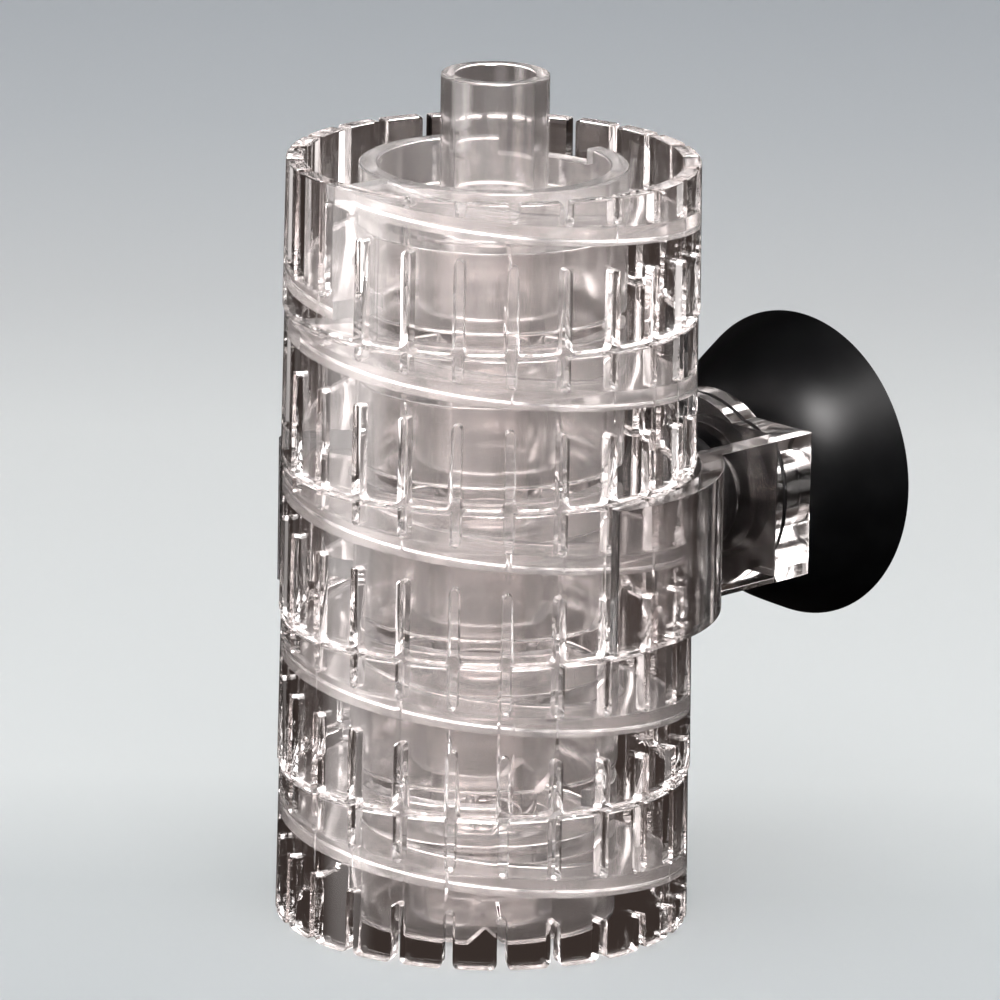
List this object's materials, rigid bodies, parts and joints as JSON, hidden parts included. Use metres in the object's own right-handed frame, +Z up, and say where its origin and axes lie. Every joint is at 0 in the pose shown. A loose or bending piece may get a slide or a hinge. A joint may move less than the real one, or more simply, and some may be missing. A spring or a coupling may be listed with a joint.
{
  "type": "stackable spiral gas diffuser",
  "caption": "Clear stack of slotted spiral bubble-ladder modules with a central tube, a push-on bracket clip and a black suction cup for aquarium glass.",
  "frame": {"origin": "centre of the stack's flat foot, on the axis of the modules", "axes": "+Z up along the stack, +Y from the stack towards the suction cup, +X to the side"},
  "size_m": [0.0606, 0.0868, 0.1144],
  "materials": {
    "clear_shell": "gloss",
    "clear_core": "gloss",
    "clear_plug": "gloss",
    "clear_clip": "gloss",
    "black_rubber": "satin"
  },
  "bodies": {
    "module_5": {"spiral_shell_5": "clear_shell", "core_tube_5": "clear_core", "gas_plug": "clear_plug"},
    "module_4": {"spiral_shell_4": "clear_shell", "core_tube_4": "clear_core"},
    "module_3": {"spiral_shell_3": "clear_shell", "core_tube_3": "clear_core"},
    "module_2": {"spiral_shell_2": "clear_shell", "core_tube_2": "clear_core"},
    "module_1": {"spiral_shell_1": "clear_shell", "core_tube_1": "clear_core"},
    "clip": {"holder_clip": "clear_clip"},
    "cup": {"suction_cup": "black_rubber"}
  },
  "joints": [
    {"name": "module_4_pull", "type": "slide", "parent": "module_5", "child": "module_4", "axis": [0, 0, 1], "range_m": [0, 0.014]},
    {"name": "module_3_pull", "type": "slide", "parent": "module_4", "child": "module_3", "axis": [0, 0, 1], "range_m": [0, 0.014]},
    {"name": "module_2_pull", "type": "slide", "parent": "module_3", "child": "module_2", "axis": [0, 0, 1], "range_m": [0, 0.014]},
    {"name": "module_1_pull", "type": "slide", "parent": "module_2", "child": "module_1", "axis": [0, 0, 1], "range_m": [0, 0.014]},
    {"name": "clip_turn", "type": "hinge", "parent": "module_3", "child": "clip", "pos_m": [0, 0, 0.0521], "axis": [0, 0, 1], "continuous": true},
    {"name": "cup_swivel", "type": "hinge", "parent": "clip", "child": "cup", "pos_m": [0, 0.043, 0.0513], "axis": [0, 1, 0], "continuous": true}
  ]
}
